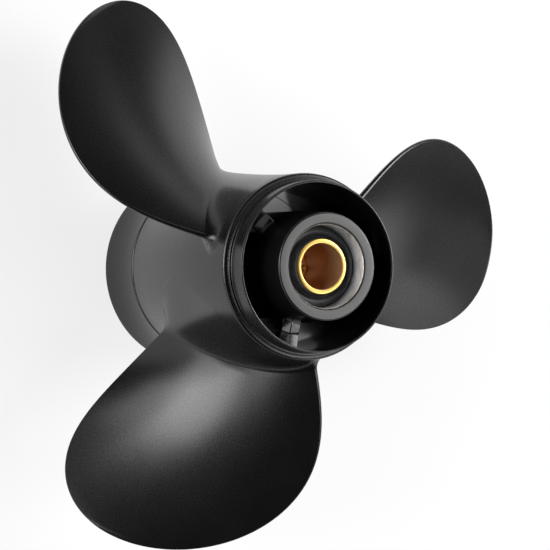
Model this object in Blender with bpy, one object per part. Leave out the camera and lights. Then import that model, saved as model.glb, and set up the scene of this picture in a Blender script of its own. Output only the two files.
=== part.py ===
"""Three-blade ship propeller for an outboard leg, with its exhaust leaving through the hub.

The propeller stands on its tail ring. +Z runs up the shaft axis towards the gearcase end, and the
root of blade 2 is centred on +X. The origin is on the axis, at the height of the centre of volume.
The aluminium casting is shown as its barrel, inner hub, three ribs and three blades. The flared
tail ring is pressed on, and a rubber bushing holds the splined brass sleeve in the inner hub.
"""

import math

import bmesh
import bpy

# Lengths are in millimetres, heights are above the tail ring's end, and angles are in degrees
MM = 0.001
GAP = 0.3
ORIGIN_HEIGHT = 74.0

# Colour, roughness and metallic value of each finish
FINISHES = {
    "paint": ((0.028, 0.029, 0.029), 0.42, 0.0),
    "brass": ((0.80, 0.55, 0.22), 0.30, 1.0),
    "rubber": ((0.018, 0.018, 0.018), 0.60, 0.0),
}

# Blades
BLADES = 3
TIP_RADIUS = 143.0
PITCH = 375.0
RAKE_ANGLE = 8.0
BLADE_HEIGHT = 78.5
ROOT_RADIUS = 42.7
# Share of the span from root to tip, half chord, and skew towards the leading edge
BLADE_STATIONS = ((0.0, 41.0, 0.0), (1 / 3, 52.2, 0.5), (2 / 3, 61.5, -2.2), (1.0, 63.0, -9.1))
TIP_ROUNDNESS = 4.4
ROOT_THICKNESS = 10.0
TIP_THICKNESS = 2.6
EDGE_THICKNESS = 1.5
ROOT_FILLET = 9.0
ROOT_BURIED = 3.0
CUTTER_WALL = 12.0
FILLET_STEPS = 4
SPAN_STEPS = 13
CHORD_STEPS = 12

# Barrel: the outer wall of the hub, with the lip that enters the gearcase
TURN_STEPS = 72
BARREL_TAIL = 23.6
BARREL_FRONT = 124.0
BARREL_TAIL_RADIUS = 43.5
BARREL_FRONT_RADIUS = 42.7
SPIGOT_RADIUS = 40.8
SPIGOT_TAIL = 14.0
SHOULDER_ROUND = 1.6
LIP_ROOT_RADIUS = 40.4
LIP_FRONT_RADIUS = 39.2
LIP_FRONT = 134.5
BORE_FRONT_RADIUS = 38.0
BORE_WAIST_RADIUS = 37.7
BORE_WAIST = 63.0
BORE_STEP = 0.2
BORE_TAIL_RADIUS = 38.0

# Tail ring: the flared diffuser that the propeller stands on
RING_OUTER_RADIUS = 47.9
RING_EDGE = 2.2
RING_WALL_RADIUS = 38.2
FLARE_STEPS = 6

# Inner hub, its front end standing ahead of the lip
HUB_FRONT = 142.7
HUB_TAIL = 28.0
HUB_FRONT_RADIUS = 24.4
HUB_DRAFT_RADIUS = 25.7
HUB_DRAFT_HEIGHT = 120.0
HUB_WAIST_RADIUS = 26.4
HUB_TAIL_RADIUS = 25.6
HUB_EDGE_ROUND = 0.6
MOUTH_RADIUS = 19.8
MOUTH_DEPTH = 1.2
HUB_BORE_RADIUS = 18.9
STOP_RADIUS = 17.0
STOP_HEIGHT = 52.0

# Ribs between the barrel and the inner hub
RIB_ANGLE = 5.3
RIB_THICKNESS = 9.5
RIB_FRONT = 120.2
RIB_TAIL = 34.0
RIB_STEP_RADIUS = 31.1
RIB_RISE = 1.7

# Rubber bushing and brass sleeve
SLEEVE_RADIUS = 12.6
SLEEVE_FRONT = 137.5
SLEEVE_TAIL = 50.0
SLEEVE_MOUTH_RADIUS = 10.5
SLEEVE_MOUTH_DEPTH = 35.5
SLEEVE_RECESS_DEPTH = 6.0
SLEEVE_CHAMFER = 0.25
SPLINE_TEETH = 13
SPLINE_ROOT_RADIUS = 10.0
SPLINE_CREST_RADIUS = 8.6
SLEEVE_STEPS_PER_TOOTH = 6
BUSHING_EDGE = 132.6
BUSHING_CROWN = 134.4
BUSHING_VALLEY = 133.0
BUSHING_FILM = 0.5
BUSHING_FILM_FRONT = 137.0


def clear_scene():
    """Remove every object that the file opened with."""
    for item in list(bpy.data.objects):
        bpy.data.objects.remove(item)


def make_material(name, finish):
    """Return a Principled material in one of the finishes."""
    colour, roughness, metallic = FINISHES[finish]
    material = bpy.data.materials.new(name)
    material.use_nodes = True
    shader = material.node_tree.nodes["Principled BSDF"]
    shader.inputs["Base Color"].default_value = (*colour, 1.0)
    shader.inputs["Roughness"].default_value = roughness
    shader.inputs["Metallic"].default_value = metallic
    return material


def mesh_object(name, bm, parent, finish=None, turn=0.0):
    """Turn a bmesh in millimetres into a named object in metres, turned about the shaft axis."""
    bmesh.ops.recalc_face_normals(bm, faces=bm.faces)
    bmesh.ops.scale(bm, vec=(MM, MM, MM), verts=bm.verts)
    mesh = bpy.data.meshes.new(name)
    bm.to_mesh(mesh)
    bm.free()
    mesh.shade_smooth()
    mesh.set_sharp_from_angle(angle=math.radians(35))
    if finish:
        mesh.materials.append(make_material(f"{name}_{finish}", finish))
    item = bpy.data.objects.new(name, mesh)
    item.rotation_euler.z = math.radians(turn)
    item.parent = parent
    bpy.context.scene.collection.objects.link(item)
    return item


def arc(centre, radius, start, end, steps):
    """Points (r, z) of a circular arc in the turning plane, between two angles in degrees."""
    angles = [math.radians(start + (end - start) * i / steps) for i in range(steps + 1)]
    return [(centre[0] + radius * math.cos(a), centre[1] + radius * math.sin(a)) for a in angles]


def turned(profile):
    """Spin a closed outline of (r, z) points once round the shaft axis."""
    bm = bmesh.new()
    verts = [bm.verts.new((r, 0.0, z)) for r, z in profile]
    edges = [bm.edges.new((verts[i - 1], verts[i])) for i in range(len(verts))]
    bmesh.ops.spin(
        bm,
        geom=verts + edges,
        cent=(0, 0, 0),
        axis=(0, 0, 1),
        angle=math.tau,
        steps=TURN_STEPS,
        use_merge=True,
    )
    return bm


def skin(bm, rings, closed=False):
    """Join rings of points with quads, in order, and the last to the first if closed."""
    loops = [[bm.verts.new(point) for point in ring] for ring in rings]
    count = len(loops[0])
    pairs = list(zip(loops, loops[1:]))
    if closed:
        pairs.append((loops[-1], loops[0]))
    for low, high in pairs:
        for i in range(count):
            bm.faces.new((low[i - 1], low[i], high[i], high[i - 1]))
    return loops


def barrel_radius(z):
    """Outer radius of the barrel at height z, which narrows a little towards the front."""
    share = (z - BARREL_TAIL) / (BARREL_FRONT - BARREL_TAIL)
    return BARREL_TAIL_RADIUS + (BARREL_FRONT_RADIUS - BARREL_TAIL_RADIUS) * share


def hub_radius(z):
    """Outer radius of the inner hub at height z: widest at the waist, with draft to both ends."""
    points = (
        (HUB_TAIL, HUB_TAIL_RADIUS),
        (BORE_WAIST, HUB_WAIST_RADIUS),
        (HUB_DRAFT_HEIGHT, HUB_DRAFT_RADIUS),
        (HUB_FRONT, HUB_FRONT_RADIUS),
    )
    for (z0, r0), (z1, r1) in zip(points, points[1:]):
        if z <= z1:
            return r0 + (r1 - r0) * (z - z0) / (z1 - z0)
    return HUB_FRONT_RADIUS


def make_barrel(parent):
    """The outer wall: tail spigot, drum, rounded shoulder, and thin lip at the front."""
    shoulder = (BARREL_FRONT_RADIUS - SHOULDER_ROUND, BARREL_FRONT - SHOULDER_ROUND)
    lip_round = (LIP_FRONT_RADIUS + BORE_FRONT_RADIUS) / 2
    lip_half = (LIP_FRONT_RADIUS - BORE_FRONT_RADIUS) / 2
    profile = [
        (SPIGOT_RADIUS, SPIGOT_TAIL),
        (SPIGOT_RADIUS, BARREL_TAIL),
        (BARREL_TAIL_RADIUS, BARREL_TAIL),
        *arc(shoulder, SHOULDER_ROUND, 0, 90, 3),
        (LIP_ROOT_RADIUS, BARREL_FRONT),
        (LIP_FRONT_RADIUS, LIP_FRONT - lip_half),
        (lip_round + lip_half * 0.6, LIP_FRONT),
        (lip_round - lip_half * 0.6, LIP_FRONT),
        (BORE_FRONT_RADIUS, LIP_FRONT - lip_half),
        (BORE_WAIST_RADIUS, BORE_WAIST + BORE_STEP),
        (BORE_WAIST_RADIUS - BORE_STEP, BORE_WAIST),
        (BORE_TAIL_RADIUS, SPIGOT_TAIL),
    ]
    mesh_object("barrel", turned(profile), parent, "paint")


def make_tail_ring(parent):
    """The flared ring, with a recess that takes the barrel's spigot and a flat end to stand on."""
    top = BARREL_TAIL - GAP
    recess = SPIGOT_RADIUS + GAP
    seat = SPIGOT_TAIL - GAP
    flare = RING_OUTER_RADIUS - BARREL_TAIL_RADIUS
    heights = [i / FLARE_STEPS for i in range(FLARE_STEPS + 1)]
    outer = [(BARREL_TAIL_RADIUS + flare * s * s, top * (1 - s)) for s in heights]
    end = RING_OUTER_RADIUS - RING_EDGE
    inner = [(RING_WALL_RADIUS + (end - RING_WALL_RADIUS) * (1 - s) ** 2, seat * s) for s in heights]
    profile = [*outer, *inner, (recess, seat), (recess, top)]
    mesh_object("tail_ring", turned(profile), parent, "paint")


def make_inner_hub(parent):
    """The tube that holds the bushing, with a stop inside its tail end."""
    front = (HUB_FRONT_RADIUS - HUB_EDGE_ROUND, HUB_FRONT - HUB_EDGE_ROUND)
    profile = [
        (HUB_TAIL_RADIUS, HUB_TAIL),
        (HUB_WAIST_RADIUS, BORE_WAIST),
        (HUB_DRAFT_RADIUS, HUB_DRAFT_HEIGHT),
        *arc(front, HUB_EDGE_ROUND, 0, 90, 2),
        (MOUTH_RADIUS, HUB_FRONT),
        (HUB_BORE_RADIUS, HUB_FRONT - MOUTH_DEPTH),
        (HUB_BORE_RADIUS, STOP_HEIGHT),
        (STOP_RADIUS, STOP_HEIGHT),
        (STOP_RADIUS, HUB_TAIL),
    ]
    mesh_object("inner_hub", turned(profile), parent, "paint")


def make_ribs(parent):
    """Three ribs from the inner hub to the barrel, their fronts rising where they meet the wall."""
    half = RIB_THICKNESS / 2
    wall_front = math.sqrt((BORE_WAIST_RADIUS - GAP) ** 2 - half**2)
    wall_waist = math.sqrt((BORE_WAIST_RADIUS - BORE_STEP - GAP) ** 2 - half**2)
    side = [
        (hub_radius(RIB_TAIL) + GAP, RIB_TAIL),
        (wall_waist, RIB_TAIL),
        (wall_waist, BORE_WAIST),
        (wall_front, BORE_WAIST + BORE_STEP),
        (wall_front, RIB_FRONT + RIB_RISE),
        (RIB_STEP_RADIUS, RIB_FRONT),
        (hub_radius(RIB_FRONT) + GAP, RIB_FRONT),
        (hub_radius(BORE_WAIST) + GAP, BORE_WAIST),
    ]
    for number in range(BLADES):
        bm = bmesh.new()
        loops = skin(bm, [[(r, y, z) for r, z in side] for y in (-half, half)])
        bm.faces.new(loops[0])
        bm.faces.new(loops[-1])
        turn = RIB_ANGLE + blade_turn(number)
        mesh_object(f"rib_{number + 1}", bm, parent, "paint", turn)


def blade_turn(number):
    """Angle of a blade about the axis, in degrees: blade 2 lies along +X."""
    return 360.0 / BLADES * (1 - number)


def through_stations(share, column):
    """Value at a share of the span, on the cubic through the four blade stations."""
    total = 0.0
    for i, row in enumerate(BLADE_STATIONS):
        weight = 1.0
        for j, other in enumerate(BLADE_STATIONS):
            if i != j:
                weight *= (share - other[0]) / (row[0] - other[0])
        total += weight * row[column]
    return total


def section_outline(half_chord, thickness, flare):
    """Closed outline of a blade section as (along the chord, out of the face), tail to nose.

    The driving face is flat and the back is an arc. The flare is how far the root fillet stands out
    on every side.
    """
    nose = half_chord + flare
    edge = EDGE_THICKNESS / 2
    back, face = [], []
    for i in range(CHORD_STEPS + 1):
        s = -math.cos(math.pi * i / CHORD_STEPS)
        crown = edge + (thickness - EDGE_THICKNESS) * (1 - s * s)
        x = (nose - edge) * s
        back.append((x, crown + flare))
        face.append((x, -edge - flare))
    return [(-nose, 0.0), *back[1:-1], (nose, 0.0), *reversed(face[1:-1])]


def wrap_section(share, outline):
    """Wrap a section's outline round the shaft at its radius, on the blade's screw surface."""
    radius = ROOT_RADIUS + (TIP_RADIUS - ROOT_RADIUS) * share
    lead = PITCH / math.tau
    angle = math.atan2(lead, radius)
    skew = math.radians(through_stations(share, 2))
    middle = BLADE_HEIGHT + lead * skew - (radius - ROOT_RADIUS) * math.tan(math.radians(RAKE_ANGLE))
    ring = []
    for x, y in outline:
        turn = skew + (x * math.cos(angle) - y * math.sin(angle)) / radius
        z = middle + x * math.sin(angle) + y * math.cos(angle)
        ring.append((radius * math.cos(turn), radius * math.sin(turn), z))
    return ring


def blade_shares():
    """Shares of the span where sections are cut, close together in the fillet and at the tip."""
    span = TIP_RADIUS - ROOT_RADIUS
    fillet = [ROOT_FILLET / span * (i / FILLET_STEPS) ** 2 for i in range(1, FILLET_STEPS + 1)]
    rest = [math.sin(math.pi / 2 * i / SPAN_STEPS) for i in range(1, SPAN_STEPS)]
    return fillet + [s for s in rest if s > fillet[-1] * 1.4] + [0.9985]


def blade_section(share):
    """Outline of the blade section at a share of the span, with its part of the root fillet."""
    width = math.sqrt(1 - share**TIP_ROUNDNESS)
    half_chord = through_stations(share, 1) * width
    thickness = TIP_THICKNESS + (ROOT_THICKNESS - TIP_THICKNESS) * (1 - share) ** 1.3
    height = share * (TIP_RADIUS - ROOT_RADIUS)
    rise = max(0.0, 1 - height / ROOT_FILLET)
    flare = ROOT_FILLET * (1 - math.sqrt(1 - rise**2)) * 0.6
    return section_outline(half_chord, thickness, flare)


def make_barrel_cutter(parent):
    """The barrel's outside grown by the gap: it trims the blades' roots to the wall."""
    low = barrel_radius(BARREL_TAIL) + GAP
    high = barrel_radius(BARREL_FRONT) + GAP
    profile = [
        (low, BARREL_TAIL),
        (high, BARREL_FRONT),
        (high - CUTTER_WALL, BARREL_FRONT),
        (low - CUTTER_WALL, BARREL_TAIL),
    ]
    cutter = mesh_object("barrel_cutter", turned(profile), parent)
    cutter.hide_render = True
    cutter.display_type = "WIRE"
    return cutter


def lofted_blade():
    """A blade from inside the barrel's wall to its tip, as a bmesh."""
    bm = bmesh.new()
    buried = -ROOT_BURIED / (TIP_RADIUS - ROOT_RADIUS)
    shares = [buried, 0.0, *blade_shares()]
    loops = skin(bm, [wrap_section(share, blade_section(max(share, 0.0))) for share in shares])
    bm.faces.new(loops[0])
    bm.faces.new(loops[-1])
    return bm


def make_blades(parent):
    """Three blades, each trimmed to the barrel's wall."""
    cutter = make_barrel_cutter(parent)
    for number in range(BLADES):
        name = f"blade_{number + 1}"
        blade = mesh_object(name, lofted_blade(), parent, "paint", blade_turn(number))
        trim = blade.modifiers.new("Trim to the barrel", "BOOLEAN")
        trim.operation = "DIFFERENCE"
        trim.solver = "EXACT"
        trim.object = cutter


def make_sleeve(parent):
    """The brass sleeve: plain at both ends, with splines for the shaft between them."""
    count = SPLINE_TEETH * SLEEVE_STEPS_PER_TOOTH
    cut = SLEEVE_CHAMFER

    def ring(radius, z, crest=None):
        points = []
        for i in range(count):
            on_tooth = crest is not None and i % SLEEVE_STEPS_PER_TOOTH in (0, 1, 2)
            r = crest if on_tooth else radius
            a = math.tau * i / count
            points.append((r * math.cos(a), r * math.sin(a), z))
        return points

    spline_top = SLEEVE_FRONT - SLEEVE_MOUTH_DEPTH
    spline_tail = SLEEVE_TAIL + SLEEVE_RECESS_DEPTH
    rings = [
        ring(SLEEVE_RADIUS - cut, SLEEVE_TAIL),
        ring(SLEEVE_RADIUS, SLEEVE_TAIL + cut),
        ring(SLEEVE_RADIUS, SLEEVE_FRONT - cut),
        ring(SLEEVE_RADIUS - cut, SLEEVE_FRONT),
        ring(SLEEVE_MOUTH_RADIUS, SLEEVE_FRONT),
        ring(SLEEVE_MOUTH_RADIUS, spline_top),
        ring(SPLINE_ROOT_RADIUS, spline_top, SPLINE_CREST_RADIUS),
        ring(SPLINE_ROOT_RADIUS, spline_tail, SPLINE_CREST_RADIUS),
        ring(SLEEVE_MOUTH_RADIUS, spline_tail),
        ring(SLEEVE_MOUTH_RADIUS, SLEEVE_TAIL),
    ]
    bm = bmesh.new()
    skin(bm, rings, closed=True)
    mesh_object("splined_sleeve", bm, parent, "brass")


def make_bushing(parent):
    """The rubber moulded on the sleeve and pressed in the hub: a crown, and a film on the sleeve."""
    inner = SLEEVE_RADIUS + GAP
    outer = HUB_BORE_RADIUS - GAP
    crown = (inner + outer) / 2 + 0.6
    tail = STOP_HEIGHT + GAP
    profile = [
        (outer, tail),
        (outer, BUSHING_EDGE),
        (outer - 0.9, BUSHING_EDGE + 1.2),
        (crown, BUSHING_CROWN),
        (crown - 1.4, BUSHING_CROWN - 0.5),
        (inner + 1.0, BUSHING_VALLEY),
        (inner + BUSHING_FILM, BUSHING_FILM_FRONT - 0.4),
        (inner, BUSHING_FILM_FRONT),
        (inner, tail),
    ]
    mesh_object("rubber_bushing", turned(profile), parent, "rubber")


def main():
    """Build the propeller's eleven solids under one empty on the shaft axis."""
    clear_scene()
    shaft_axis = bpy.data.objects.new("shaft_axis", None)
    shaft_axis.location.z = -ORIGIN_HEIGHT * MM
    bpy.context.scene.collection.objects.link(shaft_axis)
    make_barrel(shaft_axis)
    make_tail_ring(shaft_axis)
    make_inner_hub(shaft_axis)
    make_ribs(shaft_axis)
    make_blades(shaft_axis)
    make_bushing(shaft_axis)
    make_sleeve(shaft_axis)


if __name__ == "__main__":
    main()
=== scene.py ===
"""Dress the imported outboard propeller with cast, painted, rubber and brass surfaces.

The propeller's sizes are in millimetres, and its heights are above the end of the tail ring. A
piece's mesh is scaled to metres and lowered so that its origin is the frame's, when it is handed
over. The axis is vertical, and the gearcase end is up. The studio's sizes and the depths of the
bumps are in metres.
"""

from __future__ import annotations

import logging
import math
from collections.abc import Callable, Iterable, Mapping, Sequence
from dataclasses import dataclass
from enum import Enum
from typing import Any

import bmesh
import bpy
from mathutils import Matrix, Vector


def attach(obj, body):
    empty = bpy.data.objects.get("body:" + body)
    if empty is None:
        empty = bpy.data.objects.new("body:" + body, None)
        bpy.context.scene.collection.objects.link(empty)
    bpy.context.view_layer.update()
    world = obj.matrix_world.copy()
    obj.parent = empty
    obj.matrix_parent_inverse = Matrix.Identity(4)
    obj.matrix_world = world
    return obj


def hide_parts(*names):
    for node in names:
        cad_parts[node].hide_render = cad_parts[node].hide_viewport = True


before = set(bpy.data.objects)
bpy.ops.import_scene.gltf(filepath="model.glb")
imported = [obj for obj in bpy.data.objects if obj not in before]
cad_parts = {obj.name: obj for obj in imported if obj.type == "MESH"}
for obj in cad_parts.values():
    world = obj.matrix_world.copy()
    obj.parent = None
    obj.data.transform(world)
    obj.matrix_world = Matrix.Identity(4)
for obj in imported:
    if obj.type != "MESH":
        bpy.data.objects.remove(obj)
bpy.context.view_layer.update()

LOG = logging.getLogger("propeller")

MILLIMETRE = 0.001
ORIGIN_HEIGHT = 74.0
TO_FRAME = Matrix.Scale(MILLIMETRE, 4) @ Matrix.Translation((0, 0, -ORIGIN_HEIGHT))
MERGE_DISTANCE = 0.0005
BLADE_COUNT = 3
QUARTER_TURN = math.pi / 2

Triple = tuple[float, float, float]
Colour = Triple


class Slot(Enum):
    """The record's material slots."""

    PAINT = "black_paint"
    RUBBER = "rubber"
    BRASS = "brass"


# Shader expressions


class Value:
    """An output socket that Python's operators can add Math nodes to."""

    def __init__(self, shader: Shader, socket: bpy.types.NodeSocket) -> None:
        """Wrap a socket.

        Args:
            shader: The material being built.
            socket: The output socket that carries this value.
        """
        self.shader = shader
        self.socket = socket

    def _math(self, operation: str, *operands: Value | float) -> Value:
        """Add one Math node.

        Args:
            operation: The Math node's operation.
            operands: Its inputs, in order.

        Returns:
            The node's result.
        """
        return self.shader.add("ShaderNodeMath", {"operation": operation}, dict(enumerate(operands)))

    def __add__(self, other: Value | float) -> Value:
        """Return self + other."""
        return self._math("ADD", self, other)

    def __radd__(self, other: float) -> Value:
        """Return other + self."""
        return self._math("ADD", other, self)

    def __sub__(self, other: Value | float) -> Value:
        """Return self - other."""
        return self._math("SUBTRACT", self, other)

    def __rsub__(self, other: float) -> Value:
        """Return other - self."""
        return self._math("SUBTRACT", other, self)

    def __mul__(self, other: Value | float) -> Value:
        """Return self * other."""
        return self._math("MULTIPLY", self, other)

    def __rmul__(self, other: float) -> Value:
        """Return other * self."""
        return self._math("MULTIPLY", other, self)

    def rise(self, low: float, high: float) -> Value:
        """Step smoothly up from 0 to 1.

        Args:
            low: The value at which the step starts.
            high: The value at which it ends.

        Returns:
            The step, between 0 and 1.
        """
        inputs = {"Value": self, "From Min": low, "From Max": high}
        return self.shader.add("ShaderNodeMapRange", {"interpolation_type": "SMOOTHSTEP"}, inputs)


class Shader:
    """A node material with one Principled shader, built by expressions."""

    def __init__(self, name: str) -> None:
        """Start an empty material.

        Args:
            name: The material's name.
        """
        self.material = bpy.data.materials.new(name)
        self.material.use_nodes = True
        self.tree = self.material.node_tree
        self.principled = self.tree.nodes["Principled BSDF"]
        self.coordinates = self.add("ShaderNodeTexCoord", {}, {}, "Object")

    def add(
        self,
        kind: str,
        settings: Mapping[str, Any],
        inputs: Mapping[str | int, Any],
        output: str | int = 0,
    ) -> Value:
        """Add a node, give it its settings, then fill or link its sockets.

        Args:
            kind: The node's type.
            settings: Attributes to set on the node first. "stops" fills a colour ramp.
            inputs: Values or links by socket name or number.
            output: The socket to return.

        Returns:
            The chosen output.
        """
        node = self.tree.nodes.new(kind)
        for name, setting in settings.items():
            if name == "stops":
                self._fill_ramp(node.color_ramp, setting)
            else:
                setattr(node, name, setting)
        for key, item in inputs.items():
            self._feed(node.inputs[key], item)
        return Value(self, node.outputs[output])

    def _feed(self, socket: bpy.types.NodeSocket, item: Any) -> None:
        """Link a value to a socket, or set the socket's own value."""
        if isinstance(item, Value):
            self.tree.links.new(item.socket, socket)
        else:
            socket.default_value = item

    def _fill_ramp(self, ramp: bpy.types.ColorRamp, stops: Sequence[tuple[float, Colour]]) -> None:
        """Place a ramp's stops.

        Args:
            ramp: The colour ramp, which starts with two stops.
            stops: Positions and colours from left to right.
        """
        while len(ramp.elements) < len(stops):
            ramp.elements.new(0.5)
        for element, (position, colour) in zip(ramp.elements, stops):
            element.position = position
            element.color = (*colour, 1.0)

    def noise(self, scale: float, detail: float = 2.0, stretch: Triple = (1, 1, 1)) -> Value:
        """Add a noise pattern on the object's coordinates.

        Args:
            scale: Features per metre.
            detail: Octaves of finer noise.
            stretch: Factors for the coordinates along X, Y and Z.

        Returns:
            The noise, around 0.5.
        """
        where = self.add("ShaderNodeMapping", {}, {"Vector": self.coordinates, "Scale": stretch})
        inputs = {"Vector": where, "Scale": scale, "Detail": detail}
        return self.add("ShaderNodeTexNoise", {}, inputs)

    def mix(self, factor: Value | float, first: Any, second: Any) -> Value:
        """Mix two colours.

        Args:
            factor: 0 for the first colour, 1 for the second.
            first: A colour or a link.
            second: A colour or a link.

        Returns:
            The mixed colour.
        """
        sides = [item if isinstance(item, Value) else (*item, 1.0) for item in (first, second)]
        # A Mix node's colours are its inputs 6 and 7 and its output 2.
        inputs = {0: factor, 6: sides[0], 7: sides[1]}
        return self.add("ShaderNodeMix", {"data_type": "RGBA"}, inputs, 2)

    def blend(self, factor: Value, first: Value | float, second: Value | float) -> Value:
        """Mix two numbers.

        Args:
            factor: 0 for the first number, 1 for the second.
            first: A number or a link.
            second: A number or a link.

        Returns:
            The mixed number.
        """
        # A Mix node's numbers are its inputs 2 and 3.
        return self.add("ShaderNodeMix", {"data_type": "FLOAT"}, {0: factor, 2: first, 3: second})

    def radius(self) -> Value:
        """Return the distance from the shaft axis, in metres."""
        flat = self.add(
            "ShaderNodeVectorMath",
            {"operation": "MULTIPLY"},
            {0: self.coordinates, 1: (1.0, 1.0, 0.0)},
        )
        return self.add("ShaderNodeVectorMath", {"operation": "LENGTH"}, {0: flat}, "Value")

    def height(self) -> Value:
        """Return the height in the frame, in metres."""
        return self.add("ShaderNodeSeparateXYZ", {}, {0: self.coordinates}, "Z")

    def bump(self, layers: Iterable[tuple[Value, float]]) -> None:
        """Feed the normal with one bump for each layer.

        Args:
            layers: Heights between 0 and 1, and how many metres each stands for.
        """
        normal = None
        for height, distance in layers:
            inputs = {"Height": height, "Distance": distance, "Strength": 1.0}
            if normal:
                inputs["Normal"] = normal
            normal = self.add("ShaderNodeBump", {}, inputs)
        self.finish({"Normal": normal})

    def finish(self, sockets: Mapping[str, Any]) -> None:
        """Set or link sockets of the Principled shader.

        Args:
            sockets: Values or links by socket name.
        """
        for name, item in sockets.items():
            if name == "Base Color" and not isinstance(item, Value):
                item = (*item, 1.0)
            self._feed(self.principled.inputs[name], item)


# Finishes


@dataclass(frozen=True)
class SatinPaint:
    """Satin black paint, sprayed on a cast surface and smoother inside the barrel."""

    name: str = "satin_black_paint"
    thin: Colour = (0.0030, 0.0031, 0.0032)
    thick: Colour = (0.0052, 0.0053, 0.0054)
    roughness: float = 0.27
    roughness_inside: float = 0.12
    roughness_spread: float = 0.08
    inside_radius: float = 38.3
    inside_blend: float = 0.4
    drift_scale: float = 28.0
    cast_scale: float = 38.0
    cast_depth: float = 0.00010
    spray_scale: float = 420.0
    spray_depth: float = 0.000006
    grain_scale: float = 1500.0
    grain_depth: float = 0.000003

    def shader(self) -> Shader:
        """Build the paint.

        Returns:
            The shader, so that a finish on top of it can go on.
        """
        shader = Shader(self.name)
        drift = shader.noise(self.drift_scale, 2.0)
        grain = shader.noise(self.grain_scale, 2.0)
        limit = self.inside_radius * MILLIMETRE
        outside = shader.radius().rise(limit, limit + self.inside_blend * MILLIMETRE)
        roughness = shader.blend(outside, self.roughness_inside, self.roughness)
        shader.finish(
            {
                "Base Color": shader.mix(drift.rise(0.3, 0.7), self.thin, self.thick),
                "Roughness": roughness + (grain - 0.5) * self.roughness_spread,
            }
        )
        shader.bump(
            (
                (shader.noise(self.cast_scale, 1.0), self.cast_depth),
                (shader.noise(self.spray_scale, 2.0), self.spray_depth),
                (grain, self.grain_depth),
            )
        )
        return shader


@dataclass(frozen=True)
class HubPaint:
    """The inner hub's finish: black outside, dull grey on its faced end, bare in its bore, painted
    shade at the mouth.
    """

    name: str = "inner_hub_paint_and_bare_bore"
    paint: Colour = (0.0040, 0.0041, 0.0042)
    faced: Colour = (0.080, 0.080, 0.078)
    metal: Colour = (0.93, 0.935, 0.94)
    worn: Colour = (0.45, 0.45, 0.44)
    # Painted shade: a darker black for the mouth's chamfer, standing in for the shadow there.
    painted_shade: Colour = (0.003, 0.003, 0.003)
    face_height: float = 142.5
    face_radius: float = 23.65
    bore_radius: float = 19.1
    mouth_radius: float = 20.4
    border: float = 0.1
    ragged: float = 0.3
    paint_roughness: float = 0.24
    face_roughness: float = 0.24
    # A matte roughness that goes with the painted shade on the mouth's chamfer, so that it shows no
    # highlight.
    painted_shade_roughness: float = 0.5
    metal_roughness: float = 0.44
    grain_scale: float = 1500.0
    grain_depth: float = 0.000008
    spray_scale: float = 420.0
    spray_depth: float = 0.000012
    turning_depth: float = 0.00004

    def shader(self) -> Shader:
        """Build the painted casting with its machined bore.

        Returns:
            The shader.
        """
        shader = Shader(self.name)
        grain = shader.noise(self.grain_scale, 2.0)
        edge = shader.noise(600.0, 3.0)
        radius = shader.radius() + (edge - 0.5) * (self.ragged * MILLIMETRE)
        border = self.border * MILLIMETRE
        limit = self.bore_radius * MILLIMETRE
        bare = 1 - radius.rise(limit, limit + border)
        face = (self.face_height - ORIGIN_HEIGHT) * MILLIMETRE
        rim = self.face_radius * MILLIMETRE
        flat = 1 - shader.radius().rise(rim - border / 2, rim + border / 2)
        faced = shader.height().rise(face, face + border * 1.5) * flat
        turning = shader.noise(90.0, 3.0, (0.3, 0.3, 24.0))
        stain = shader.noise(160.0, 4.0).rise(0.45, 0.75)
        worn_metal = shader.mix(stain * 0.6, self.metal, self.worn)
        mouth = self.mouth_radius * MILLIMETRE
        # Painted shade: the ring between the bare bore and the mouth's edge gets the darker colour
        # and the matte roughness.
        painted_shade_mask = (1 - shader.radius().rise(mouth, mouth + border)) * (1 - faced)
        outside = shader.mix(faced, shader.mix(painted_shade_mask, self.paint, self.painted_shade), self.faced)
        satin = self.paint_roughness + (grain - 0.5) * 0.1 + faced * self.face_roughness
        satin = satin + painted_shade_mask * self.painted_shade_roughness
        shader.finish(
            {
                "Base Color": shader.mix(bare, outside, worn_metal),
                "Metallic": bare,
                "Roughness": shader.blend(bare, satin, self.metal_roughness + turning * 0.2),
            }
        )
        shader.bump(
            (
                (shader.noise(self.spray_scale, 2.0), self.spray_depth),
                (grain, self.grain_depth),
                (turning * bare, self.turning_depth),
            )
        )
        return shader


@dataclass(frozen=True)
class Rubber:
    """Moulded black rubber."""

    name: str = "moulded_rubber"
    colour: Colour = (0.005, 0.005, 0.0055)
    dusty: Colour = (0.014, 0.014, 0.0145)
    dust_scale: float = 220.0
    roughness: float = 0.42
    lump_scale: float = 260.0
    lump_depth: float = 0.0001
    grain_scale: float = 1300.0
    grain_depth: float = 0.00002

    def shader(self) -> Shader:
        """Build the rubber.

        Returns:
            The shader.
        """
        shader = Shader(self.name)
        dust = shader.noise(self.dust_scale, 5.0)
        shader.finish(
            {
                "Base Color": shader.mix(dust.rise(0.45, 0.75), self.colour, self.dusty),
                "Roughness": self.roughness + dust * 0.2,
            }
        )
        shader.bump(
            (
                (shader.noise(self.lump_scale, 3.0), self.lump_depth),
                (shader.noise(self.grain_scale, 2.0), self.grain_depth),
            )
        )
        return shader


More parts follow.
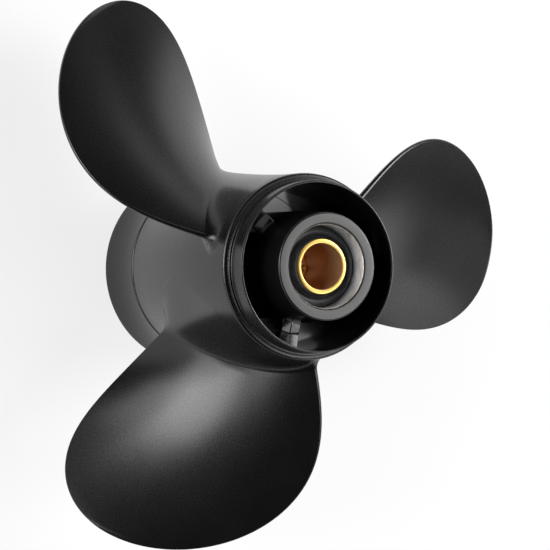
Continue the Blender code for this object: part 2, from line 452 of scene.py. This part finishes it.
@dataclass(frozen=True)
class Brass:
    """Brass turned bright on its front end and brown inside."""

    name: str = "turned_brass"
    bright: Colour = (0.80, 0.51, 0.14)
    brown: Colour = (0.90, 0.52, 0.25)
    dark: Colour = (0.50, 0.27, 0.13)
    mouth: Colour = (0.44, 0.27, 0.14)
    bore_radius: float = 10.7
    mouth_heights: tuple[float, float] = (114.0, 132.0)
    roughness: float = 0.30
    ring_depth: float = 0.00002
    grain_depth: float = 0.000003

    def shader(self) -> Shader:
        """Build the brass.

        Returns:
            The shader.
        """
        shader = Shader(self.name)
        limit = self.bore_radius * MILLIMETRE
        inside = 1 - shader.radius().rise(limit, limit + 0.15 * MILLIMETRE)
        stain = shader.noise(75.0, 4.0, (1.0, 1.0, 0.5)).rise(0.35, 0.7)
        rings = shader.noise(60.0, 2.0, (0.5, 0.5, 20.0))
        low, high = ((height - ORIGIN_HEIGHT) * MILLIMETRE for height in self.mouth_heights)
        mouth = shader.height().rise(low, high) * (0.5 + stain * 0.5)
        bore = shader.mix(mouth, shader.mix(stain, self.brown, self.dark), self.mouth)
        shader.finish(
            {
                "Base Color": shader.mix(inside, self.bright, bore),
                "Metallic": 1 - inside * 0.25,
                "Roughness": shader.blend(inside, self.roughness, self.roughness + rings * 0.2),
            }
        )
        shader.bump(
            ((rings * inside, self.ring_depth), (shader.noise(900.0, 3.0), self.grain_depth))
        )
        return shader


# Mesh helpers


@dataclass(frozen=True)
class Corner:
    """A corner of a turned outline, with the radius that rounds it."""

    radius: float
    height: float
    rounding: float = 0.0


def turn(corners: Sequence[Corner], steps: int = 240, segments: int = 4) -> bmesh.types.BMesh:
    """Spin a closed outline about the shaft axis and round its corners.

    Args:
        corners: The outline, in order.
        steps: How many steps make the full turn.
        segments: How many segments round each corner.

    Returns:
        The turned solid.
    """
    bm = bmesh.new()
    verts = [bm.verts.new((corner.radius, 0, corner.height)) for corner in corners]
    edges = [bm.edges.new(pair) for pair in zip(verts, verts[1:] + verts[:1])]
    bmesh.ops.spin(
        bm,
        geom=verts + edges,
        cent=(0, 0, 0),
        axis=(0, 0, 1),
        angle=math.tau,
        steps=steps,
        use_merge=True,
    )
    bmesh.ops.recalc_face_normals(bm, faces=bm.faces)
    for corner in corners:
        if corner.rounding:
            round_ring(bm, corner, segments)
    return bm


def round_ring(bm: bmesh.types.BMesh, corner: Corner, segments: int) -> None:
    """Bevel the ring of edges at one corner of a turned solid.

    Args:
        bm: The turned solid.
        corner: Where the ring is, and how much to round it.
        segments: How many segments the rounding has.
    """

    def on_ring(vert: bmesh.types.BMVert) -> bool:
        """Tell whether a vertex lies on the corner's ring."""
        near = abs(vert.co.xy.length - corner.radius) < MERGE_DISTANCE
        return near and abs(vert.co.z - corner.height) < MERGE_DISTANCE

    ring = [edge for edge in bm.edges if all(on_ring(vert) for vert in edge.verts)]
    bmesh.ops.bevel(
        bm,
        geom=ring,
        offset=corner.rounding,
        offset_type="OFFSET",
        segments=segments,
        profile=0.5,
        affect="EDGES",
        material=-1,
    )


def wrap_grid(
    around: int, along: int, place: Callable[[int, int], Vector]
) -> bmesh.types.BMesh:
    """Wrap a flat grid into a tube, row by row, and close both its ends.

    Args:
        around: Steps round the tube.
        along: Steps from one end to the other.
        place: Gives a point's position from its step around and its step along.

    Returns:
        The closed tube.
    """
    bm = bmesh.new()
    bmesh.ops.create_grid(bm, x_segments=around, y_segments=along, size=0.5)
    for vert in bm.verts:
        column = round((vert.co.x + 0.5) * around) % around
        row = round((vert.co.y + 0.5) * along)
        vert.co = place(column, row)
    bmesh.ops.remove_doubles(bm, verts=bm.verts, dist=MERGE_DISTANCE)
    rims = [edge for edge in bm.edges if edge.is_boundary]
    if rims:
        bmesh.ops.holes_fill(bm, edges=rims, sides=0)
    bmesh.ops.recalc_face_normals(bm, faces=bm.faces)
    return bm


def turned_about_axis(bm: bmesh.types.BMesh, degrees: float) -> bmesh.types.BMesh:
    """Turn a shape about the shaft axis.

    Args:
        bm: The shape.
        degrees: The angle, counter-clockwise seen from the gearcase end.

    Returns:
        The same shape.
    """
    matrix = Matrix.Rotation(math.radians(degrees), 4, "Z")
    bmesh.ops.transform(bm, matrix=matrix, verts=bm.verts)
    return bm


def hand_over(
    bm: bmesh.types.BMesh, name: str, shader: Shader, slot: Slot, node: str, sharp: float = 32.0
) -> None:
    """Turn a shape into a piece of the scene that stands for a CAD node.

    Args:
        bm: The finished shape, in millimetres above the tail ring's end.
        name: The piece's name.
        shader: Its finish.
        slot: Not used.
        node: The CAD node that the piece replaces.
        sharp: Edges that turn by more degrees than this stay sharp.
    """
    bmesh.ops.transform(bm, matrix=TO_FRAME, verts=bm.verts)
    mesh = bpy.data.meshes.new(name)
    bm.to_mesh(mesh)
    bm.free()
    mesh.shade_smooth()
    mesh.set_sharp_from_angle(angle=math.radians(sharp))
    mesh.materials.append(shader.material)
    piece = bpy.data.objects.new(name, mesh)
    bpy.context.scene.collection.objects.link(piece)
    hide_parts(node)
    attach(piece, "root")
    LOG.info("%s: %d faces", name, len(mesh.polygons))


def blade_angle(number: int) -> float:
    """Return the angle of blade 1, 2 or 3 about the axis, in degrees."""
    return 360.0 / BLADE_COUNT * (2 - number)


# Sub-assemblies


@dataclass
class Barrel:
    """The outer wall of the hub: drum, rounded shoulder, low step and gearcase lip."""

    tail: float = 23.6
    front: float = 124.0
    tail_radius: float = 43.5
    front_radius: float = 42.9
    step_radius: float = 40.75
    step_rise: float = 1.2
    lip_root: float = 39.4
    lip_radius: float = 39.2
    lip_front: float = 134.6
    bore_radius: float = 37.95
    bore_step: float = 63.2
    bore_step_radius: float = 37.7
    bore_step_size: float = 0.2
    groove_depth: float = 1.2
    spigot_tail: float = 14.0
    spigot_radius: float = 40.8
    spigot_bore: float = 38.0

    def outside(self, height: float) -> float:
        """Return the drum's outer radius at a height."""
        share = (height - self.tail) / (self.front - self.tail)
        return self.tail_radius + (self.front_radius - self.tail_radius) * share

    def build(self, paint: Shader) -> None:
        """Make the barrel.

        Args:
            paint: Its finish.
        """
        seat = self.tail + 0.4
        step_top = self.front + self.step_rise
        step = self.bore_step_size
        corners = (
            Corner(self.spigot_radius, self.spigot_tail),
            Corner(self.spigot_radius, seat),
            Corner(self.tail_radius - self.groove_depth, seat, 0.3),
            Corner(self.tail_radius, self.tail + 0.2, 1.0),
            Corner(self.front_radius, self.front, 1.4),
            Corner(self.step_radius, self.front, 0.15),
            Corner(self.step_radius - 0.05, step_top, 0.65),
            Corner(self.lip_root, step_top, 0.5),
            Corner(self.lip_radius, self.lip_front, 0.45),
            Corner(self.bore_radius, self.lip_front, 0.45),
            Corner(self.bore_step_radius, self.bore_step, 0.08),
            Corner(self.bore_step_radius - step, self.bore_step - step, 0.08),
            Corner(self.spigot_bore, self.spigot_tail),
        )
        hand_over(turn(corners), "barrel_wall", paint, Slot.PAINT, "barrel")


@dataclass
class TailRing:
    """The flared ring that the propeller stands on."""

    top: float = 23.3
    wall_radius: float = 43.5
    end_radius: float = 47.9
    end_width: float = 2.2
    bore_radius: float = 38.2
    recess_radius: float = 41.1
    recess_depth: float = 9.6
    flare_steps: int = 12

    def build(self, paint: Shader) -> None:
        """Make the ring.

        Args:
            paint: Its finish.
        """
        flare = self.end_radius - self.wall_radius
        inner_flare = self.end_radius - self.end_width - self.bore_radius
        seat = self.top - self.recess_depth
        corners = [Corner(self.wall_radius, self.top, 0.8)]
        for i in range(1, self.flare_steps):
            share = i / self.flare_steps
            corners.append(Corner(self.wall_radius + flare * share**2, self.top * (1 - share)))
        corners.append(Corner(self.end_radius, 0.0, 0.5))
        corners.append(Corner(self.end_radius - self.end_width, 0.0, 0.6))
        for i in range(1, self.flare_steps):
            share = i / self.flare_steps
            corners.append(Corner(self.bore_radius + inner_flare * (1 - share) ** 2, seat * share))
        corners.append(Corner(self.bore_radius, seat, 0.3))
        corners.append(Corner(self.recess_radius, seat))
        corners.append(Corner(self.recess_radius, self.top, 0.3))
        hand_over(turn(corners), "flared_tail_ring", paint, Slot.PAINT, "tail_ring")


@dataclass
class InnerHub:
    """The tube between the ribs and the bushing, with a bored mouth."""

    front: float = 142.7
    tail: float = 28.0
    face_radius: float = 24.4
    tail_radius: float = 25.6
    belly_height: float = 55.4
    belly_radius: float = 26.4
    shoulder_height: float = 120.0
    shoulder_radius: float = 25.7
    mouth_radius: float = 19.9
    mouth_step: float = 0.65
    bore_start: float = 141.6
    bore_radius: float = 18.95
    bore_end: float = 52.0
    tail_bore_radius: float = 17.0

    def outside(self, height: float) -> float:
        """Return the tube's outer radius at a height."""
        points = (
            (self.tail, self.tail_radius),
            (self.belly_height, self.belly_radius),
            (self.shoulder_height, self.shoulder_radius),
            (self.front, self.face_radius),
        )
        for (z0, r0), (z1, r1) in zip(points, points[1:]):
            if height <= z1:
                return r0 + (r1 - r0) * (height - z0) / (z1 - z0)
        return self.face_radius

    def build(self, finish: Shader) -> None:
        """Make the tube.

        Args:
            finish: Paint outside and bare metal in the bore.
        """
        corners = (
            Corner(self.tail_radius, self.tail, 1.0),
            Corner(self.belly_radius, self.belly_height),
            Corner(self.shoulder_radius, self.shoulder_height),
            Corner(self.face_radius, self.front, 0.7),
            Corner(self.mouth_radius, self.front, 0.15),
            Corner(self.bore_radius + 0.2, self.front - self.mouth_step, 0.1),
            Corner(self.bore_radius, self.bore_start),
            Corner(self.bore_radius, self.bore_end),
            Corner(self.tail_bore_radius, self.bore_end, 0.3),
            Corner(self.tail_bore_radius, self.tail, 1.0),
        )
        hand_over(turn(corners), "inner_hub_tube", finish, Slot.PAINT, "inner_hub")


@dataclass
class Ribs:
    """Three ribs from the inner hub to the barrel: flat in front, then a groove and a rise."""

    hub: InnerHub
    angle: float = 5.3
    thickness: float = 9.5
    front: float = 120.1
    tail: float = 34.0
    step_radius: float = 31.1
    groove_width: float = 0.5
    groove_depth: float = 0.3
    groove_slope: float = 0.08
    wall_radius: float = 37.7
    rise: float = 1.15
    overlap: float = 0.6
    corner_round: float = 0.4
    corner_steps: int = 6
    seam_width: float = 0.6
    seam_depth: float = 0.3
    seamed: int = 3

    def _rows(self) -> list[tuple[float, float, float]]:
        """Return each row's radius, the front's height, and the seam's share, from hub to wall."""
        inner = self.hub.outside(self.front) - self.overlap
        end = self.step_radius + self.groove_width
        bottom = self.front - self.groove_depth
        slope = self.groove_slope
        return [
            (inner, self.front, 1.0),
            (self.step_radius - 0.15, self.front, 1.0),
            (self.step_radius, self.front - slope, 1.0),
            (self.step_radius + slope, bottom, 0.0),
            (end - slope, bottom, 0.0),
            (end, self.front, 0.0),
            (self.wall_radius + self.overlap, self.front + self.rise, 0.0),
        ]

    def _section(self) -> list[tuple[float, float, bool]]:
        """Go round the rib's section.

        Returns:
            For each point its place across the rib, its height above the front's or the tail's
            corner centres, and whether it belongs to the front.
        """
        half = self.thickness / 2 - self.corner_round
        points = []
        for quarter, (side, front) in enumerate(((1, True), (-1, True), (-1, False), (1, False))):
            for step in range(self.corner_steps + 1):
                angle = QUARTER_TURN * (quarter + step / self.corner_steps)
                across = side * half + self.corner_round * math.cos(angle)
                points.append((across, self.corner_round * math.sin(angle), front))
            if quarter == 0:
                for across in (self.seam_width / 2, 0.0, -self.seam_width / 2):
                    points.append((across, self.corner_round, True))
        return points

    def _rib(self, seam_depth: float) -> bmesh.types.BMesh:
        """Make one rib, along +X.

        Args:
            seam_depth: How deep the parting line in the middle of its front is.

        Returns:
            The rib.
        """
        points = self._section()
        rows = self._rows()

        def place(column: int, row: int) -> Vector:
            """Place a point of the section at a row, lower where the parting line runs."""
            across, lift, front = points[column]
            radius, top, seam = rows[row]
            height = top - self.corner_round if front else self.tail + self.corner_round
            if front and across == 0.0:
                height -= seam_depth * seam
            return Vector((math.sqrt(radius**2 - across**2), across, height + lift))

        return wrap_grid(len(points), len(rows) - 1, place)

    def build(self, paint: Shader) -> None:
        """Make the ribs.

        Args:
            paint: Their finish.
        """
        for number in range(1, BLADE_COUNT + 1):
            bm = self._rib(self.seam_depth if number == self.seamed else 0.0)
            turned_about_axis(bm, self.angle + blade_angle(number))
            hand_over(bm, f"hub_rib_{number}", paint, Slot.PAINT, f"rib_{number}")


@dataclass
class Blades:
    """Three screw-shaped blades, each running into the barrel in a round fillet."""

    barrel: Barrel
    root_radius: float = 42.7
    tip_radius: float = 143.0
    pitch: float = 375.0
    rake: float = 8.0
    middle: float = 78.5
    chord_curve: tuple[float, ...] = (41.2, 29.8, 19.0, -26.9)
    skew_curve: tuple[float, ...] = (0.0, 0.0941, -0.1697, -0.0838)
    root_crown: float = 8.4
    tip_crown: float = 1.2
    crown_fade: float = 1.2
    edge: float = 0.75
    root_edge: float = 1.6
    rim: float = 2.4
    least_half: float = 0.01
    fillet: float = 6.5
    soft_height: float = 7.0
    soft_reach: float = 34.0
    settle: float = 18.0
    skirt: float = 1.0
    tip_roundness: float = 4.4
    side_steps: int = 40
    nose_steps: int = 10
    seat_rows: int = 8
    fillet_rows: int = 18
    blade_rows: int = 56

    def half_chord(self, share: float) -> float:
        """Return half the chord at a share of the span, before the tip rounds it off."""
        return sum(term * share**power for power, term in enumerate(self.chord_curve))

    def skew(self, share: float) -> float:
        """Return how far the middle of the chord is turned forwards, in radians."""
        return sum(term * share**power for power, term in enumerate(self.skew_curve))

    def _softness(self, column: int) -> float:
        """Return how soft the fillet is at a column: 1 on the back, 0 at the ends and the face."""
        if column >= self.side_steps:
            return 0.0
        s = -math.cos(math.pi * column / self.side_steps)
        return 1 - s**2 if s > 0 else 1 - s**6

    def _row(self, column: int, row: int) -> tuple[float, float]:
        """Return a row's height above the barrel's wall and how far its fillet stands out.

        Rows below 0 close the blade inside the wall, and are as row 0.
        """
        softness = self._softness(column)
        height = self.fillet + (self.soft_height - self.fillet) * softness
        reach = self.fillet + (self.soft_reach - self.fillet) * softness
        if row <= 0:
            return -self.skirt, reach
        if row <= self.fillet_rows + 1:
            angle = QUARTER_TURN * (row - 1) / self.fillet_rows
            return height * (1 - math.cos(angle)), reach * (1 - math.sin(angle))
        done = (row - 1 - self.fillet_rows) / self.blade_rows
        span = self.tip_radius - self.root_radius - height
        return height + span * math.sin(QUARTER_TURN * done), 0.0

    def _outline(self, column: int, half: float, crown: float, offset: float) -> Vector:
        """Place a point on a section: along the chord, and out of the driving face.

        Args:
            column: Step round the section, from the trailing end of the back.
            half: Half the chord of the lens inside the section.
            crown: How far the lens's back rises above its flat face.
            offset: How far the section stands out from the lens.

        Returns:
            The point.
        """
        width = max(half, self.least_half)
        slope = math.atan2(2 * crown, width)
        nose = self.side_steps + self.nose_steps
        if column <= self.side_steps:
            s = -math.cos(math.pi * column / self.side_steps)
            lean = math.atan2(-2 * crown * s, width)
            foot = Vector((half * s, crown * (1 - s * s)))
            return foot + offset * Vector((-math.sin(lean), math.cos(lean)))
        if column < nose:
            share = (column - self.side_steps) / self.nose_steps
            angle = (QUARTER_TURN - slope) * (1 - share) - QUARTER_TURN * share
            return Vector((half, 0)) + offset * Vector((math.cos(angle), math.sin(angle)))
        if column <= nose + self.side_steps:
            s = math.cos(math.pi * (column - nose) / self.side_steps)
            return Vector((half * s, -offset))
        share = (column - nose - self.side_steps) / self.nose_steps
        angle = -QUARTER_TURN * (1 - share) - (QUARTER_TURN + slope) * share
        return Vector((-half, 0)) + offset * Vector((math.cos(angle), math.sin(angle)))

    def _place(self, column: int, step: int) -> Vector:
        """Place a point of the blade: columns go round a section, and steps from root to tip.

        The first steps follow the inside of the wall, and open the section out from its chord.
        """
        open_share = min(step / self.seat_rows, 1.0)
        rise, flare = self._row(column, step - self.seat_rows)
        span = self.tip_radius - self.root_radius
        share = min(max(rise / span, 0.0), 1.0)
        width = math.sqrt(max(1 - share**self.tip_roundness, 0.0))
        left = min(max(span - rise, 0.0) / self.rim, 1.0)
        rim = math.sqrt(1 - (1 - left) ** 2)
        fade = (1 - share) ** self.crown_fade
        crown = self.tip_crown + (self.root_crown - self.tip_crown) * fade
        edge = (self.edge + (self.root_edge - self.edge) * (1 - share) ** 2) * rim
        half = max(self.half_chord(share) * width - edge, 0.0)
        crown *= rim * width**0.5 * open_share
        along, out = self._outline(column, half, crown, (edge + flare) * open_share)
        radius = self.root_radius + rise
        lead = self.pitch / math.tau
        angle = math.atan2(lead, self.root_radius + max(rise, 0.0))
        skew = self.skew(share)
        middle = self.middle + lead * skew - max(rise, 0.0) * math.tan(math.radians(self.rake))
        turn_angle = skew + (along * math.cos(angle) - out * math.sin(angle)) / radius
        height = middle + along * math.sin(angle) + out * math.cos(angle)
        follow = min(max(1 - rise / self.settle, 0.0), 1.0)
        radius += (self.barrel.outside(height) - self.root_radius) * follow * follow
        return Vector((radius * math.cos(turn_angle), radius * math.sin(turn_angle), height))

    def build(self, paint: Shader) -> None:
        """Make the blades.

        Args:
            paint: Their finish.
        """
        around = 2 * (self.side_steps + self.nose_steps)
        along = self.seat_rows + 1 + self.fillet_rows + self.blade_rows
        for number in range(1, BLADE_COUNT + 1):
            bm = wrap_grid(around, along, self._place)
            turned_about_axis(bm, blade_angle(number))
            hand_over(bm, f"cast_blade_{number}", paint, Slot.PAINT, f"blade_{number}", sharp=50.0)


@dataclass
class Bushing:
    """The rubber ring, crowned at its front end and dished towards the sleeve."""

    inner: float = 12.75
    outer: float = 18.7
    tail: float = 52.3
    edge: float = 132.4
    crown: float = 134.4
    crown_outer: float = 17.3
    crown_inner: float = 15.4
    dish: float = 133.0
    dish_radius: float = 13.7
    film_front: float = 137.3

    def build(self, rubber: Shader) -> None:
        """Make the bushing.

        Args:
            rubber: Its finish.
        """
        corners = (
            Corner(self.outer, self.tail, 0.5),
            Corner(self.outer, self.edge, 0.8),
            Corner(self.crown_outer, self.crown, 1.2),
            Corner(self.crown_inner, self.crown - 0.1, 0.9),
            Corner(self.dish_radius, self.dish, 0.5),
            Corner(self.inner + 0.4, self.film_front - 0.4, 0.3),
            Corner(self.inner, self.film_front),
            Corner(self.inner, self.tail, 0.5),
        )
        bm = turn(corners)
        hand_over(bm, "moulded_bushing", rubber, Slot.RUBBER, "rubber_bushing", sharp=60.0)


@dataclass
class Sleeve:
    """The brass sleeve, plain for the first stretch of its bore and splined behind."""

    radius: float = 12.6
    bore: float = 10.6
    front: float = 137.5
    tail: float = 50.0
    spline_top: float = 102.0
    spline_tail: float = 56.0
    teeth: int = 13
    crest: float = 8.6
    root: float = 10.0
    tooth_height: float = 2.2
    tooth_slope: float = 8.0
    steps_per_tooth: int = 16

    def _tooth(self, column: int) -> float:
        """Return how much of a tooth stands at a step round the bore, from 0 to 1."""
        phase = (column % self.steps_per_tooth) / self.steps_per_tooth
        return min(max(self.tooth_height - abs(phase - 0.5) * self.tooth_slope, 0.0), 1.0)

    def _section(self, tooth: float) -> list[tuple[float, float]]:
        """Go once round the section of the sleeve's wall.

        Args:
            tooth: How much of a tooth stands there, from 0 to 1.

        Returns:
            Radii and heights, with the first point again at the end.
        """
        splined = self.root + (self.crest - self.root) * tooth
        return [
            (self.radius, self.front - 0.5),
            (self.radius - 0.1, self.front - 0.15),
            (self.radius - 0.35, self.front),
            (self.bore + 0.2, self.front),
            (self.bore + 0.05, self.front - 0.05),
            (self.bore, self.front - 0.2),
            (self.bore, self.spline_top + 0.6),
            (self.root, self.spline_top),
            (splined, self.spline_top - 0.8),
            (splined, self.spline_tail + 0.8),
            (self.root, self.spline_tail),
            (self.bore, self.spline_tail - 0.4),
            (self.bore, self.tail + 0.4),
            (self.bore + 0.4, self.tail),
            (self.radius - 0.4, self.tail),
            (self.radius, self.tail + 0.4),
            (self.radius, self.front - 0.5),
        ]

    def build(self, brass: Shader) -> None:
        """Make the sleeve.

        Args:
            brass: Its finish.
        """
        around = self.teeth * self.steps_per_tooth
        sections = [self._section(self._tooth(column)) for column in range(around)]

        def place(column: int, row: int) -> Vector:
            """Place a point of a section at its angle round the bore."""
            radius, height = sections[column][row]
            angle = math.tau * column / around
            return Vector((radius * math.cos(angle), radius * math.sin(angle), height))

        bm = wrap_grid(around, len(sections[0]) - 1, place)
        hand_over(bm, "turned_sleeve", brass, Slot.BRASS, "splined_sleeve", sharp=40.0)


# Studio


@dataclass(frozen=True)
class SoftBox:
    """A square studio light that faces the frame's origin.

    Its bearing is counter-clockwise from +X, and its angle above the horizon is in degrees too.
    """

    name: str
    bearing: float
    elevation: float
    power: float
    side: float = 0.75
    distance: float = 1.8

    def build(self) -> None:
        """Make the light."""
        data = bpy.data.lights.new(self.name, "AREA")
        data.shape = "SQUARE"
        data.size = self.side
        data.energy = self.power
        bearing, elevation = math.radians(self.bearing), math.radians(self.elevation)
        outwards = Vector((math.cos(bearing), math.sin(bearing), math.tan(elevation))).normalized()
        light = bpy.data.objects.new(self.name, data)
        light.location = outwards * self.distance
        light.rotation_euler = (-outwards).to_track_quat("-Z", "Y").to_euler()
        bpy.context.scene.collection.objects.link(light)


@dataclass(frozen=True)
class Studio:
    """The pale floor, the soft light and the camera at the photograph's angle."""

    floor_size: float = 6.0
    floor_colour: Colour = (0.25, 0.25, 0.25)
    floor_roughness: float = 0.9
    floor_gloss: float = 0.1
    floor_glow: float = 0.72
    sky: float = 0.0
    camera_place: Triple = (-0.46296, 0.08192, 0.93146)
    camera_turn: Triple = (0.4133, -27.2116, -11.3725)
    focal_length: float = 143.21
    sensor_width: float = 36.0
    soft_boxes: tuple[SoftBox, ...] = (
        SoftBox("key_high", 165.0, 29.0, 14.6),
        SoftBox("key_low", 158.0, 10.0, 6.4),
        SoftBox("key_back", 145.0, 22.0, 5.9),
        SoftBox("key_front", -162.0, 24.0, 5.5),
        SoftBox("rim_middle", -5.0, 33.0, 19.0),
        SoftBox("rim_back", 15.0, 42.0, 13.4),
        SoftBox("rim_high", -17.0, 48.0, 2.5),
        SoftBox("top_front", -50.0, 55.0, 6.6),
        SoftBox("top_back", 55.0, 65.0, 1.6),
        SoftBox("fill_front", -65.0, 11.0, 2.9),
        SoftBox("fill_right", -45.0, 18.0, 1.0),
        SoftBox("fill_back", 53.0, 5.0, 2.1),
    )

    def build(self) -> None:
        """Make the floor, the lights and the camera."""
        self._floor()
        self._world()
        for box in self.soft_boxes:
            box.build()
        self._camera()

    def _floor(self) -> None:
        """Make the floor under the tail ring."""
        bm = bmesh.new()
        bmesh.ops.create_grid(bm, x_segments=1, y_segments=1, size=self.floor_size / 2)
        drop = Matrix.Translation((0, 0, -ORIGIN_HEIGHT * MILLIMETRE))
        bmesh.ops.transform(bm, matrix=drop, verts=bm.verts)
        mesh = bpy.data.meshes.new("studio_floor")
        bm.to_mesh(mesh)
        bm.free()
        shader = Shader("studio_floor")
        shader.finish(
            {
                "Base Color": self.floor_colour,
                "Roughness": self.floor_roughness,
                "Specular IOR Level": self.floor_gloss,
                "Emission Color": (1.0, 1.0, 1.0, 1.0),
                "Emission Strength": self.floor_glow,
            }
        )
        mesh.materials.append(shader.material)
        floor = bpy.data.objects.new("studio_floor", mesh)
        bpy.context.scene.collection.objects.link(floor)

    def _world(self) -> None:
        """Make the air, which is dark while the sky's strength is 0, and set the view's colours."""
        world = bpy.data.worlds.new("studio_air")
        world.use_nodes = True
        background = world.node_tree.nodes["Background"]
        background.inputs["Color"].default_value = (1.0, 1.0, 1.0, 1.0)
        background.inputs["Strength"].default_value = self.sky
        bpy.context.scene.world = world
        bpy.context.scene.view_settings.view_transform = "Standard"

    def _camera(self) -> None:
        """Make the camera."""
        data = bpy.data.cameras.new("camera")
        data.lens = self.focal_length
        data.sensor_width = self.sensor_width
        camera = bpy.data.objects.new("camera", data)
        camera.location = self.camera_place
        camera.rotation_euler = [math.radians(angle) for angle in self.camera_turn]
        bpy.context.scene.collection.objects.link(camera)
        bpy.context.scene.camera = camera


def main() -> None:
    """Build the propeller's pieces and the studio, in order."""
    logging.basicConfig(level=logging.INFO, format="%(name)s: %(message)s")
    paint = SatinPaint().shader()
    barrel = Barrel()
    hub = InnerHub()
    barrel.build(paint)
    TailRing().build(paint)
    hub.build(HubPaint().shader())
    Ribs(hub).build(paint)
    Blades(barrel).build(paint)
    Bushing().build(Rubber().shader())
    Sleeve().build(Brass().shader())
    Studio().build()


if __name__ == "__main__":
    main()
